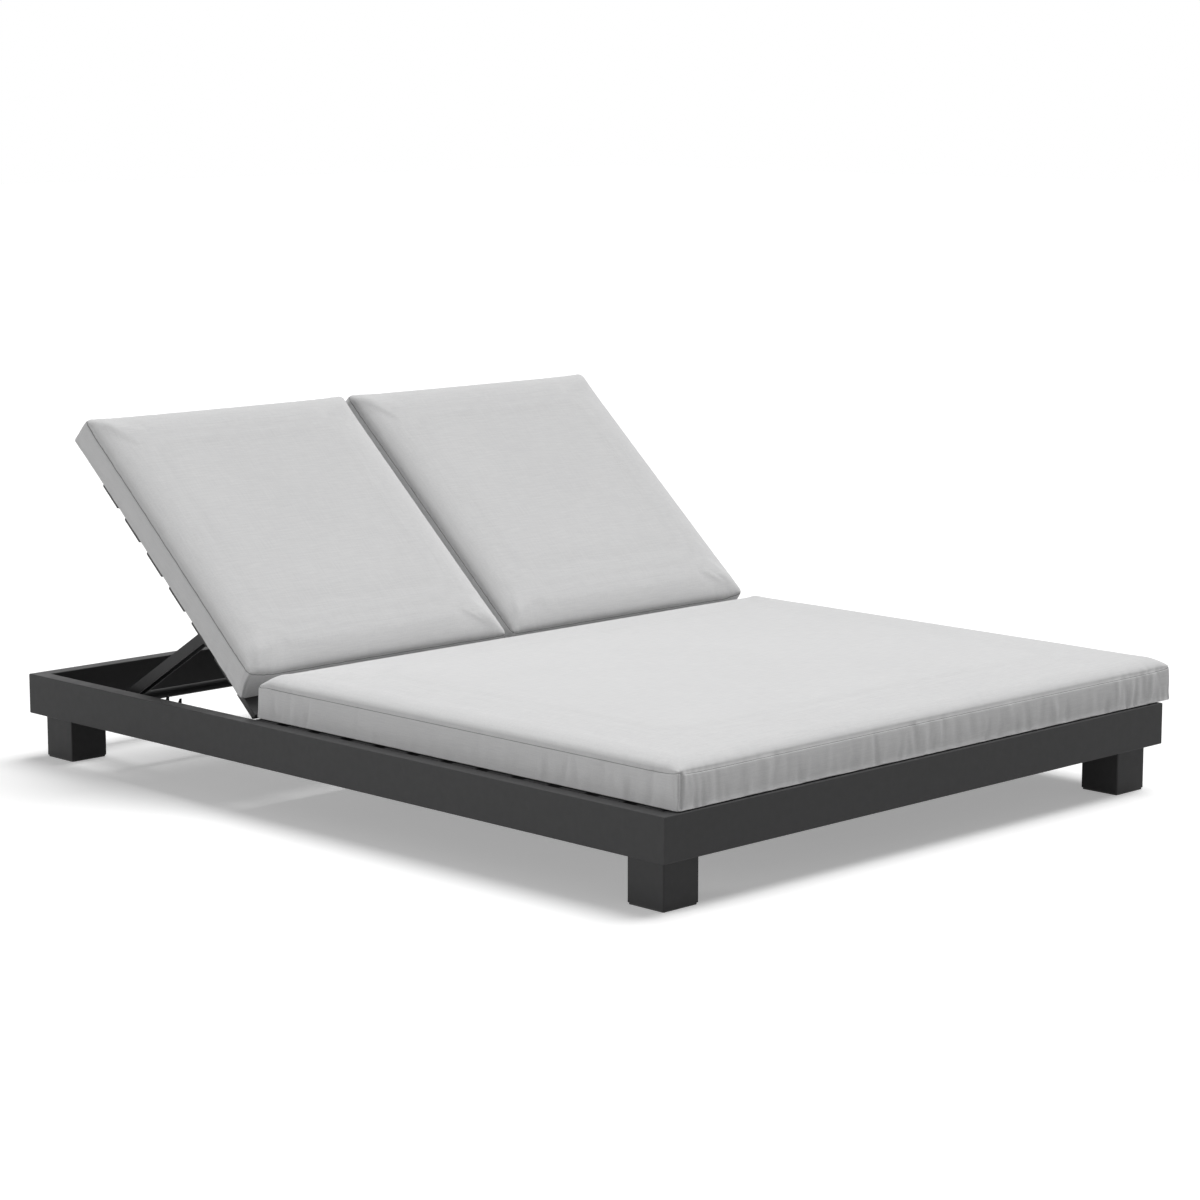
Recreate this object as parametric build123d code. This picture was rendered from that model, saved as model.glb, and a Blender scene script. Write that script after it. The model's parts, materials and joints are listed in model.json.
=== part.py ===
from build123d import *
import os
from math import asin, cos, degrees, floor, radians, sin, sqrt

# Double chaise lounger for patio use, in millimetres.
# +X is to the right seen from the foot end, +Y towards the head end, +Z up.
# The origin is on the floor, under the middle of the base frame.
# Left pieces have negative X. Right pieces of the base, the backs and the stays mirror them.

# Base frame: four mitred box rails on square legs
lounger_width = 1540
lounger_length = 2000
rail_height = 90
rail_width = 35
rail_wall = 3
rail_corner = 2
leg_height = 100
leg_side = 95
leg_wall = 3
leg_corner = 3
leg_inset = 26
leg_top_thickness = 5
corner_plate_thickness = 5
glide_thickness = 4
glide_inset = 2
glide_plug_depth = 18
glide_plug_wall = 4
glide_plug_play = 0.3

# Bolts that hold the legs under the corner plates, two on a diagonal of each
leg_bolt_radius = 4
leg_bolt_head_radius = 7.5
leg_bolt_head_height = 5
leg_bolt_length = 22
leg_bolt_pitch = 44
bolt_hole_play = 0.3

# Slats of the seat and of the backs
slat_width = 70
slat_gap = 32
slat_thickness = 14
slat_wall = 1.6
slat_corner = 3
slat_end_play = 1

# Members under the seat
ledge_side = 25
ledge_thickness = 3
hinge_beam_side = 40
hinge_beam_wall = 3
hinge_beam_setback = 18
centre_beam_width = 40

# Back frames, one for each person
back_angle = 41.3
back_head_gap = 5
back_tube_side = 25
back_tube_wall = 2
back_tube_corner = 2
back_length = 702
back_tube_start = 14
back_gap = 40
slat_side_inset = 52
slat_past_tube = 78
first_slat_least = 12
last_slat_inset = 4.5
bottom_tube_start = 20
plug_depth = 12
plug_wall = 1.5
plug_play = 0.2

# Hinges between the backs and the hinge beam
hinge_pin_radius = 5
hinge_lug_thickness = 5
hinge_lug_radius = 12
hinge_lug_foot = 34
pin_head_height = 4
pin_nut_radius = 8
pin_nut_height = 6
washer_radius = 9
washer_thickness = 2.4
running_play = 0.06
side_play = 0.3

# Stays that prop the backs: two channel arms and a round foot bar each
stay_pivot_reach = 265
stay_length = 363
stay_width = 24
stay_height = 24
stay_wall = 3
stay_pin_radius = 4
stay_tube_gap = 20
foot_bar_radius = 11
foot_bar_wall = 2
foot_bar_rest_height = 150
weld_play = 0.1

# Toothed racks that the foot bars travel over, each on its own beam
rack_thickness = 5
rack_beam_width = 25
rack_beam_height = 14
rack_beam_wall = 2
rack_tooth_pitch = 45
rack_front_margin = 9
rack_tall_teeth = 2
rack_low_teeth = 5
teeth_before_bar = 4
rack_tall_tip = 172
rack_low_tip = 130
rack_tip_flat = 2
rack_low_slope = 16
rack_tall_slope = 30

# Cushions
cushion_lift = 0.3
side_bulge = 5
draw_in = 5
free_end_round = 12
free_end_drop = 8
free_end_inset = 6
free_crown_reach = 75
hinge_end_round = 36
hinge_end_drop = 27
hinge_end_inset = 16
end_station_shares = (0, 0.16, 0.48, 1)
crown_station_shares = (0.15, 0.32, 0.58, 1)
crown_edge_reach = 52
crown_edge_share = 0.86
crown_roll_share = 0.66
seat_cushion_front = 10
seat_cushion_left_inset = 43
seat_cushion_overhang = 23
seat_cushion_hinge_gap = 15
seat_band_height = 66
seat_crown = 25
back_cushion_start = 58
back_cushion_overhang = 120
back_cushion_left_inset = 39
back_cushion_right_inset = 5
back_cushion_gap = 6
back_band_height = 58
back_crown = 28

# Cuts run this far past the material that they open
overrun = 20

# Levels and faces that several pieces share
half_width = lounger_width / 2
half_length = lounger_length / 2
rail_top = leg_height + rail_height
inner_x = half_width - rail_width
inner_y = half_length - rail_width
slat_pitch = slat_width + slat_gap
slat_bottom = rail_top - slat_thickness
hinge_y = inner_y - back_head_gap - back_length
hinge_z = slat_bottom - back_tube_side / 2
hinge_beam_top = leg_height + hinge_beam_side
hinge_beam_rear = hinge_y - hinge_beam_setback
corner_plate_top = leg_height + corner_plate_thickness
leg_x = half_width - leg_inset - leg_side / 2
leg_y = half_length - leg_inset - leg_side / 2

# Faces of the left back, from its outer side to the middle of the lounger
slat_outer_x = -half_width + slat_side_inset
slat_inner_x = -back_gap / 2
back_middle_x = (slat_outer_x + slat_inner_x) / 2
tube_outer_x = slat_outer_x + slat_past_tube
tube_inner_x = tube_outer_x + back_tube_side
lug_outer_x = tube_inner_x + washer_thickness + side_play * 2
arm_inner_x = tube_outer_x - stay_tube_gap
arm_outer_x = arm_inner_x - stay_width
rack_outer_x = (arm_inner_x + tube_outer_x - rack_thickness) / 2
rack_inner_x = rack_outer_x + rack_thickness

# Slats of a back, counted from its upper end
back_slat_room = back_length - last_slat_inset - first_slat_least
back_slat_count = floor((back_slat_room + slat_gap) / slat_pitch)
first_slat_start = back_length - last_slat_inset - slat_pitch * back_slat_count + slat_gap

# The stay at rest, its foot bar against the face of a tooth
stay_pivot_z = hinge_z + stay_pivot_reach * sin(radians(back_angle))
stay_pivot_y = hinge_y + stay_pivot_reach * cos(radians(back_angle))
stay_angle = degrees(asin((stay_pivot_z - foot_bar_rest_height) / stay_length))
foot_bar_y = stay_pivot_y + stay_length * cos(radians(stay_angle))
rack_first_face = foot_bar_y + foot_bar_radius - rack_tooth_pitch * teeth_before_bar
rack_beam_top = leg_height + rack_beam_height

# Cushions, cut to the frame
seat_cushion_width = lounger_width - seat_cushion_left_inset + seat_cushion_overhang
seat_cushion_length = hinge_y - seat_cushion_hinge_gap + half_length - seat_cushion_front
back_cushion_room = lounger_width - back_cushion_left_inset - back_cushion_right_inset
back_cushion_width = (back_cushion_room - back_cushion_gap) / 2
back_cushion_length = back_length + back_cushion_overhang - back_cushion_start

parts = {}


def along_x(section, start, end, y, z):
    """A section drawn in Y and Z, run along X."""
    plane = Plane(origin=(start, y, z), x_dir=(0, 1, 0), z_dir=(1, 0, 0))
    return extrude(plane * section, amount=end - start)


def along_y(section, start, end, x, z):
    """A section drawn in -X and Z, run along Y."""
    plane = Plane(origin=(x, start, z), x_dir=(-1, 0, 0), z_dir=(0, 1, 0))
    return extrude(plane * section, amount=end - start)


def along_z(section, start, end, x, y):
    """A section drawn in X and Y, run upwards."""
    return extrude(Pos(x, y, start) * section, amount=end - start)


def hollow(width, height, wall, corner):
    """The section of a box tube with rounded outer edges."""
    return RectangleRounded(width, height, corner) - Rectangle(width - wall * 2, height - wall * 2)


def mirrored(shape):
    """The same piece on the right-hand side."""
    return mirror(shape, about=Plane.YZ)


def rod(radius, start, end, y, z):
    """A round bar along X."""
    return along_x(Circle(radius), start, end, y, z)


def ring(radius, hole, start, end, y, z):
    """A washer or spacer along X."""
    return along_x(Circle(radius) - Circle(hole), start, end, y, z)


def mitred(rail, outer_a, outer_b, inner_b, inner_a):
    """A rail cut to its plan outline, so that its ends are mitred."""
    outline = make_face(Polyline(outer_a, outer_b, inner_b, inner_a, close=True))
    return rail & extrude(outline, amount=rail_top + overrun)


def side_rail():
    section = hollow(rail_width, rail_height, rail_wall, rail_corner)
    middle_x = -half_width + rail_width / 2
    rail = along_y(section, -half_length, half_length, middle_x, leg_height + rail_height / 2)
    return mitred(
        rail,
        (-half_width, -half_length),
        (-half_width, half_length),
        (-inner_x, inner_y),
        (-inner_x, -inner_y),
    )


def end_rail():
    section = hollow(rail_width, rail_height, rail_wall, rail_corner)
    middle_y = -half_length + rail_width / 2
    rail = along_x(section, -half_width, half_width, middle_y, leg_height + rail_height / 2)
    return mitred(
        rail,
        (-half_width, -half_length),
        (half_width, -half_length),
        (inner_x, -inner_y),
        (-inner_x, -inner_y),
    )


def leg_bolt_places():
    """The two bolts of the rear right leg, on its corner plate."""
    reach = leg_bolt_pitch / 2
    return [Pos(leg_x + sign * reach, leg_y + sign * reach, corner_plate_top) for sign in (-1, 1)]


def leg_bolt_holes():
    return [place * Cylinder(leg_bolt_radius + bolt_hole_play, overrun) for place in leg_bolt_places()]


def corner_plate(side_x, side_y):
    """A plate welded into a corner of the rails, flush with their underside, over the leg."""
    reach_x = leg_x - leg_side / 2
    reach_y = leg_y - leg_side / 2
    outline = Rectangle(inner_x - reach_x, inner_y - reach_y, align=Align.MIN)
    plate = along_z(outline, leg_height, corner_plate_top, reach_x, reach_y)
    return placed_at_corner(plate - leg_bolt_holes(), side_x, side_y)


def leg(side_x, side_y):
    """A square tube with a welded top plate, drilled for its bolts."""
    section = RectangleRounded(leg_side, leg_side, leg_corner)
    outer = along_z(section, glide_thickness, leg_height, leg_x, leg_y)
    room = leg_side - leg_wall * 2
    inner = along_z(Rectangle(room, room), -overrun, leg_height - leg_top_thickness, leg_x, leg_y)
    return placed_at_corner(outer - inner - leg_bolt_holes(), side_x, side_y)


def placed_at_corner(shape, side_x, side_y):
    """A piece modelled at the rear right corner, mirrored to the corner asked for."""
    if side_x < 0:
        shape = mirror(shape, about=Plane.YZ)
    if side_y < 0:
        shape = mirror(shape, about=Plane.XZ)
    return shape


def glide(side_x, side_y):
    """A plastic foot under a leg, with a hollow plug inside the tube."""
    sole_side = leg_side - glide_inset * 2
    sole = along_z(RectangleRounded(sole_side, sole_side, leg_corner), 0, glide_thickness, leg_x, leg_y)
    plug_side = leg_side - (leg_wall + glide_plug_play) * 2
    plug_room = plug_side - glide_plug_wall * 2
    wall = Rectangle(plug_side, plug_side) - Rectangle(plug_room, plug_room)
    plug = along_z(wall, glide_thickness, glide_thickness + glide_plug_depth, leg_x, leg_y)
    return placed_at_corner(sole + plug, side_x, side_y)


def leg_bolts(side_x, side_y):
    """Two hexagon bolts whose heads lie on the corner plate."""
    head = extrude(RegularPolygon(leg_bolt_head_radius, 6), amount=leg_bolt_head_height)
    shank = extrude(Circle(leg_bolt_radius), amount=-leg_bolt_length)
    bolt = head + shank
    return [placed_at_corner(place * bolt, side_x, side_y) for place in leg_bolt_places()]


def seat_slat(y):
    section = hollow(slat_width, slat_thickness, slat_wall, slat_corner)
    end_x = inner_x - slat_end_play
    return along_x(section, -end_x, end_x, y, rail_top - slat_thickness / 2)


def seat_slat_rows():
    """Even rows of slats between the foot rail and the hinge beam's rear face."""
    room = hinge_beam_rear + inner_y
    count = floor((room + slat_gap) / slat_pitch)
    first = -inner_y + (room - count * slat_pitch + slat_pitch) / 2
    return [first + slat_pitch * row for row in range(count)]


def seat_ledge():
    """An angle inside the side rail, under the slat ends."""
    corner = (Align.MAX, Align.MAX)
    room = ledge_side - ledge_thickness
    angle = Rectangle(ledge_side, ledge_side, align=corner)
    angle -= Pos(-ledge_thickness, -ledge_thickness) * Rectangle(room, room, align=corner)
    return along_y(angle, -inner_y, hinge_beam_rear, -inner_x, slat_bottom)


def hinge_beam():
    section = hollow(hinge_beam_side, hinge_beam_side, hinge_beam_wall, rail_corner)
    y = hinge_beam_rear - hinge_beam_side / 2
    return along_x(section, -inner_x, inner_x, y, leg_height + hinge_beam_side / 2)


def centre_beam():
    """A beam along the middle, from the foot rail to the hinge beam that it rests on."""
    height = slat_bottom - hinge_beam_top
    section = hollow(centre_beam_width, height, hinge_beam_wall, rail_corner)
    return along_y(section, -inner_y, hinge_beam_rear, 0, hinge_beam_top + height / 2)


def across_back(shape):
    """The same piece at the inner side of the left back."""
    return mirror(shape, about=Plane.YZ.offset(back_middle_x))


def hinge_lug():
    """A plate on the hinge beam that carries the hinge pin, inside the outer side tube."""
    pin_hole = hinge_pin_radius + weld_play
    foot_front = hinge_beam_rear - hinge_lug_foot
    foot = make_face(
        Polyline(
            (foot_front, hinge_beam_top),
            (hinge_beam_rear, hinge_beam_top),
            (hinge_y + hinge_lug_radius, hinge_z),
            (hinge_y, hinge_z + hinge_lug_radius),
            close=True,
        )
    )
    eye = Pos(hinge_y, hinge_z) * Circle(hinge_lug_radius)
    outline = foot + eye - Pos(hinge_y, hinge_z) * Circle(pin_hole)
    return along_x(outline, lug_outer_x, lug_outer_x + hinge_lug_thickness, 0, 0)


def pivot_bolt(pin_radius, y, z, faces):
    """A bolt along X through two pieces, with a washer or sleeve between them.

    The faces are those under the head, at both ends of the sleeve and under the nut.
    """
    hexagon = RegularPolygon(pin_nut_radius, 6)
    under_head = faces[0] - side_play
    head = along_x(hexagon, under_head - pin_head_height, under_head, y, z)
    nut_start = faces[3] + side_play
    pin = rod(pin_radius, under_head, nut_start, y, z)
    nut = along_x(hexagon, nut_start, nut_start + pin_nut_height, y, z)
    sleeve_start = faces[1] + side_play
    sleeve = ring(washer_radius, pin_radius + running_play, sleeve_start, faces[2] - side_play, y, z)
    return [head + pin + nut, sleeve]


def side_tube():
    """A side tube of the left back, lying flat, with the hinge axis at Y 0 and Z 0."""
    section = hollow(back_tube_side, back_tube_side, back_tube_wall, back_tube_corner)
    tube = along_y(section, -back_tube_start, back_length, (tube_outer_x + tube_inner_x) / 2, 0)
    hole_start = tube_outer_x - overrun
    hole_end = tube_inner_x + overrun
    hinge_hole = rod(hinge_pin_radius + running_play, hole_start, hole_end, 0, 0)
    stay_hole = rod(stay_pin_radius + running_play, hole_start, hole_end, stay_pivot_reach, 0)
    return tube - hinge_hole - stay_hole


def cross_tube(start):
    """A tube between the side tubes, starting this far from the hinge axis."""
    section = hollow(back_tube_side, back_tube_side, back_tube_wall, back_tube_corner)
    inner_end = back_middle_x * 2 - tube_inner_x
    return along_x(section, tube_inner_x, inner_end, start + back_tube_side / 2, 0)


def back_slat(row):
    section = hollow(slat_width, slat_thickness, slat_wall, slat_corner)
    middle = first_slat_start + slat_width / 2 + slat_pitch * row
    height = back_tube_side / 2 + slat_thickness / 2
    return along_x(section, slat_outer_x, slat_inner_x, middle, height)


def tube_plugs():
    """Plastic plugs in both ends of the side tubes, with a flange at the upper end."""
    plug_side = back_tube_side - (back_tube_wall + plug_play) * 2
    plug_face = Rectangle(plug_side, plug_side)
    cap_face = RectangleRounded(back_tube_side, back_tube_side, back_tube_corner)
    middle = (tube_outer_x + tube_inner_x) / 2
    upper = along_y(plug_face, back_length - plug_depth, back_length, middle, 0)
    cap = along_y(cap_face, back_length, back_length + plug_wall, middle, 0)
    lower_end = plug_depth - back_tube_start - hinge_pin_radius
    lower = along_y(plug_face, -back_tube_start, lower_end, middle, 0)
    plugs = [upper + cap, lower]
    return plugs + [across_back(plug) for plug in plugs]


def slat_plugs(row):
    """Flush plastic plugs in both ends of a back slat."""
    wall_and_play = (slat_wall + plug_play) * 2
    section = Rectangle(slat_width - wall_and_play, slat_thickness - wall_and_play)
    middle = first_slat_start + slat_width / 2 + slat_pitch * row
    height = back_tube_side / 2 + slat_thickness / 2
    plug = along_x(section, slat_outer_x, slat_outer_x + plug_depth, middle, height)
    return [plug, across_back(plug)]


def stay_arm():
    """A channel, open below, from its pivot at the origin to the foot bar, lying along +Y."""
    outline = Pos(stay_length / 2, 0) * SlotCenterToCenter(stay_length, stay_height)
    arm = along_x(outline, arm_outer_x, arm_inner_x, 0, 0)
    room = stay_height / 2 - stay_wall
    trough = Pos(stay_length / 2, room - stay_height / 2) * Rectangle(stay_length + room * 2, stay_height)
    arm -= along_x(trough, arm_outer_x + stay_wall, arm_inner_x - stay_wall, 0, 0)
    arm -= rod(stay_pin_radius + running_play, arm_outer_x - overrun, arm_inner_x + overrun, 0, 0)
    arm -= rod(foot_bar_radius + weld_play, arm_outer_x - overrun, arm_inner_x + overrun, stay_length, 0)
    return arm


def foot_bar():
    """A round tube through both arms."""
    inner_end = back_middle_x * 2 - arm_outer_x
    return ring(foot_bar_radius, foot_bar_radius - foot_bar_wall, arm_outer_x, inner_end, stay_length, 0)


def rack_points():
    """The toothed edge, from the front foot of the plate to its rear foot, as Y and Z."""
    front = rack_first_face - rack_front_margin
    points = [(front, corner_plate_top), (front, rack_beam_top)]
    count = rack_tall_teeth + rack_low_teeth
    for tooth in range(count):
        tall = tooth < rack_tall_teeth
        tip = rack_tall_tip if tall else rack_low_tip
        slope = rack_tall_slope if tall else rack_low_slope
        face = rack_first_face + rack_tooth_pitch * tooth
        points.append((face, rack_beam_top))
        points.append((face, tip))
        points.append((face + rack_tip_flat, tip))
        points.append((face + rack_tip_flat + slope, rack_beam_top))
    rear = rack_first_face + rack_tooth_pitch * count
    points.append((rear, rack_beam_top))
    points.append((rear, corner_plate_top))
    return points


def rack():
    """A toothed plate against the outer side of its beam."""
    outline = make_face(Polyline(*rack_points(), close=True))
    return along_x(outline, rack_outer_x, rack_inner_x, 0, 0)


def rack_beam():
    """A tube from the hinge beam to the head rail, its top level with the notches."""
    section = hollow(rack_beam_width, rack_beam_height, rack_beam_wall, rail_corner)
    middle = rack_inner_x + rack_beam_width / 2
    return along_y(section, hinge_beam_rear, inner_y, middle, leg_height + rack_beam_height / 2)


def cushion_face(y, half, low, shoulder, crown):
    """One cross-section: flat below, bulged at the sides, and on top crowned, or straight with no crown."""
    foot = half - side_bulge
    roll = foot - crown_edge_reach
    edge = (foot, y, shoulder)
    roll_end = (roll, y, shoulder + crown * crown_edge_share)
    other_roll_end = (-roll, y, shoulder + crown * crown_edge_share)
    below = Line((-foot, y, low), (foot, y, low))
    right = ThreePointArc((foot, y, low), (half, y, (low + shoulder) / 2), edge)
    if crown:
        mid_roll = ((foot + roll) / 2, y, shoulder + crown * crown_roll_share)
        right_roll = ThreePointArc(edge, mid_roll, roll_end)
        above = ThreePointArc(roll_end, (0, y, shoulder + crown), other_roll_end)
    else:
        right_roll = Line(edge, roll_end)
        above = Line(roll_end, other_roll_end)
    left_roll = mirror(right_roll, about=Plane.YZ)
    left = mirror(right, about=Plane.YZ)
    return make_face([below, right, right_roll, above, left_roll, left])


def end_rows(width, length, band, crown, end_round, end_drop, end_inset, crown_reach):
    """Cross-sections by their distance from an end: rounded there, then rising to the full crown."""
    places = [end_round * share for share in end_station_shares]
    places += [end_round + crown_reach * share for share in crown_station_shares]
    rows = []
    for y in places:
        end_share = max(1 - y / end_round, 0)
        round_share = 1 - sqrt(1 - end_share**2)
        low = end_drop * round_share
        rise_share = max(y - end_round, 0) / crown_reach
        height = crown * (1 - (1 - rise_share) ** 3)
        half = width / 2 - end_inset * round_share - draw_in * y / (length / 2)
        rows.append((y, half, low, band - low, height))
    return rows


def free_end_rows(width, length, band, crown):
    """The boxy end, away from the hinges."""
    sizes = (free_end_round, free_end_drop, free_end_inset, free_crown_reach)
    return end_rows(width, length, band, crown, *sizes)


def hinge_end_rows(width, length, band, crown):
    """The end at the hinges, rounded up to the middle to clear the cushion that it meets there."""
    crown_reach = length / 2 - hinge_end_round
    return end_rows(width, length, band, crown, hinge_end_round, hinge_end_drop, hinge_end_inset, crown_reach)


def cushion(near_rows, far_rows, length):
    """A boxed cushion on Z 0, from Y 0, lofted through straight and arched cross-sections."""
    rows = near_rows + [(length - y, *sizes) for y, *sizes in reversed(far_rows)]
    return loft([cushion_face(*row) for row in rows], ruled=True)


def seat_cushion():
    middle_x = -half_width + seat_cushion_left_inset + seat_cushion_width / 2
    sizes = (seat_cushion_width, seat_cushion_length, seat_band_height, seat_crown)
    body = cushion(free_end_rows(*sizes), hinge_end_rows(*sizes), seat_cushion_length)
    return Pos(middle_x, -half_length + seat_cushion_front, rail_top + cushion_lift) * body


def back_cushion(side):
    """The left or right back cushion, lying flat on the slats of its back."""
    offset = 0 if side < 0 else back_cushion_width + back_cushion_gap
    middle_x = -half_width + back_cushion_left_inset + back_cushion_width / 2 + offset
    sizes = (back_cushion_width, back_cushion_length, back_band_height, back_crown)
    body = cushion(hinge_end_rows(*sizes), free_end_rows(*sizes), back_cushion_length)
    return Pos(middle_x, back_cushion_start, back_tube_side / 2 + slat_thickness + cushion_lift) * body


def raised(shape):
    """A piece of a back, moved from the hinge axis to its place and raised."""
    return Pos(0, hinge_y, hinge_z) * Rot(back_angle, 0, 0) * shape


def propped(shape):
    """A piece of a stay, moved from its pivot to its place and leaned down to the racks."""
    return Pos(0, stay_pivot_y, stay_pivot_z) * Rot(-stay_angle, 0, 0) * shape


def add(name, shape):
    """Keeps one piece, or a list of like pieces, under its node's name."""
    parts[name] = Compound(children=list(shape)) if isinstance(shape, (list, tuple)) else shape


def add_base():
    rail = side_rail()
    end = end_rail()
    add("rail_left", rail)
    add("rail_right", mirrored(rail))
    add("rail_foot", end)
    add("rail_head", mirror(end, about=Plane.XZ))
    corners = {
        "front_left": (-1, -1),
        "front_right": (1, -1),
        "rear_left": (-1, 1),
        "rear_right": (1, 1),
    }
    for corner, sides in corners.items():
        add("leg_" + corner, leg(*sides))
    add("corner_plates", [corner_plate(*sides) for sides in corners.values()])
    add("leg_glides", [glide(*sides) for sides in corners.values()])
    add("leg_bolts", [bolt for sides in corners.values() for bolt in leg_bolts(*sides)])
    ledge = seat_ledge()
    add("seat_ledge_left", ledge)
    add("seat_ledge_right", mirrored(ledge))
    add("seat_slats", [seat_slat(y) for y in seat_slat_rows()])
    add("hinge_beam", hinge_beam())
    add("centre_beam", centre_beam())
    add("seat_cushion", seat_cushion())


def add_hinges_and_racks():
    lug = hinge_lug()
    faces = (tube_outer_x, tube_inner_x, lug_outer_x, lug_outer_x + hinge_lug_thickness)
    bolt = pivot_bolt(hinge_pin_radius, hinge_y, hinge_z, faces)
    left_lugs = [lug, across_back(lug)]
    left_bolts = bolt + [across_back(piece) for piece in bolt]
    add("hinge_lugs", left_lugs + [mirrored(piece) for piece in left_lugs])
    add("hinge_bolts", left_bolts + [mirrored(piece) for piece in left_bolts])
    plate = rack()
    beam = rack_beam()
    pairs = {"outer": lambda piece: piece, "inner": across_back}
    for name, place in pairs.items():
        add("rack_left_" + name, place(plate))
        add("rack_right_" + name, mirrored(place(plate)))
    add("rack_beams_left", [beam, across_back(beam)])
    add("rack_beams_right", [mirrored(beam), mirrored(across_back(beam))])


def add_back(side, to_side):
    """The frame, slats and bolts of one back. to_side mirrors them for the right one."""
    node = "back_" + side + "_"
    tube = side_tube()
    add(node + "side_tube_outer", to_side(raised(tube)))
    add(node + "side_tube_inner", to_side(raised(across_back(tube))))
    add(node + "bottom_tube", to_side(raised(cross_tube(bottom_tube_start))))
    add(node + "top_tube", to_side(raised(cross_tube(back_length - back_tube_side))))
    for row in range(back_slat_count):
        add(node + "slat_" + str(row + 1), to_side(raised(back_slat(row))))
    plugs = tube_plugs() + [plug for row in range(back_slat_count) for plug in slat_plugs(row)]
    add(node + "plugs", [to_side(raised(plug)) for plug in plugs])
    faces = (arm_outer_x, arm_inner_x, tube_outer_x, tube_inner_x)
    bolt = pivot_bolt(stay_pin_radius, stay_pivot_reach, 0, faces)
    bolts = bolt + [across_back(piece) for piece in bolt]
    add(node + "stay_bolts", [to_side(raised(piece)) for piece in bolts])


def add_stay(side, to_side):
    node = "stay_" + side + "_"
    arm = stay_arm()
    add(node + "arm_outer", to_side(propped(arm)))
    add(node + "arm_inner", to_side(propped(across_back(arm))))
    add(node + "foot_bar", to_side(propped(foot_bar())))


add_base()
add_hinges_and_racks()
for side, to_side in {"left": lambda shape: shape, "right": mirrored}.items():
    add_back(side, to_side)
    add_stay(side, to_side)
add("back_left_cushion", raised(back_cushion(-1)))
add("back_right_cushion", raised(back_cushion(1)))

os.makedirs("parts", exist_ok=True)
for name, shape in parts.items():
    export_step(shape, "parts/" + name + ".step")
print(len(parts), "nodes, stay leans", round(stay_angle, 2), "degrees")
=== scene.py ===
import json
import math
import random

import bpy
import numpy as np
from mathutils import Matrix, Vector

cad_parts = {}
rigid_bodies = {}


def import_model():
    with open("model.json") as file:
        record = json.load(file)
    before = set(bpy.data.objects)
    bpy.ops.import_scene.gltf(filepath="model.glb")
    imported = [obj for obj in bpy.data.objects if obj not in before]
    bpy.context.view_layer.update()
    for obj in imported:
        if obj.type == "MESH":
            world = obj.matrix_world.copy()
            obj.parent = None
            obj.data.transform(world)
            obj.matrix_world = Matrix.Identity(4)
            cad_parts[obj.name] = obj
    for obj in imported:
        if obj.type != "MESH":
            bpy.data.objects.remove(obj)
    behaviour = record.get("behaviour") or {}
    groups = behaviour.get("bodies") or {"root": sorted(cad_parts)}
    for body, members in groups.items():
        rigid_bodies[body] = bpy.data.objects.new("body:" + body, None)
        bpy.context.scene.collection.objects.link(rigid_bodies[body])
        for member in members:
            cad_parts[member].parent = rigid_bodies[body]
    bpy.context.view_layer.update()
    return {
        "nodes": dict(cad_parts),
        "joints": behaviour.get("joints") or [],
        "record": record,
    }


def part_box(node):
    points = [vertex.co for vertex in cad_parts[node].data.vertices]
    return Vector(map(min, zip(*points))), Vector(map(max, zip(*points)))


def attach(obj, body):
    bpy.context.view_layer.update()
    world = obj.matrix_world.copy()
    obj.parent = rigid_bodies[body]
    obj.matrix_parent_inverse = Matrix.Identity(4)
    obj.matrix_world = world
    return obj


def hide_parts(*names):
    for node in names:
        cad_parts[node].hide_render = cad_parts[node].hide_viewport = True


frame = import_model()

# Camera that the photograph was taken with, as fitted to the corners of the frame
camera_place = (-4.9475, -5.0611, 1.5543)
camera_yaw = 44.66
camera_pitch = 9.37
camera_lens = 97.97
camera_sensor = 36

# The backs stand at rest as far above flat as their hinges can go down
hinges = {joint["child"]: joint for joint in frame["joints"] if joint["parent"] == "base"}
back_angle = -math.radians(hinges["back_left"]["range_deg"][0])

# Most of a noise lies between these factors
noise_low = 0.3
noise_high = 0.7


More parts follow.
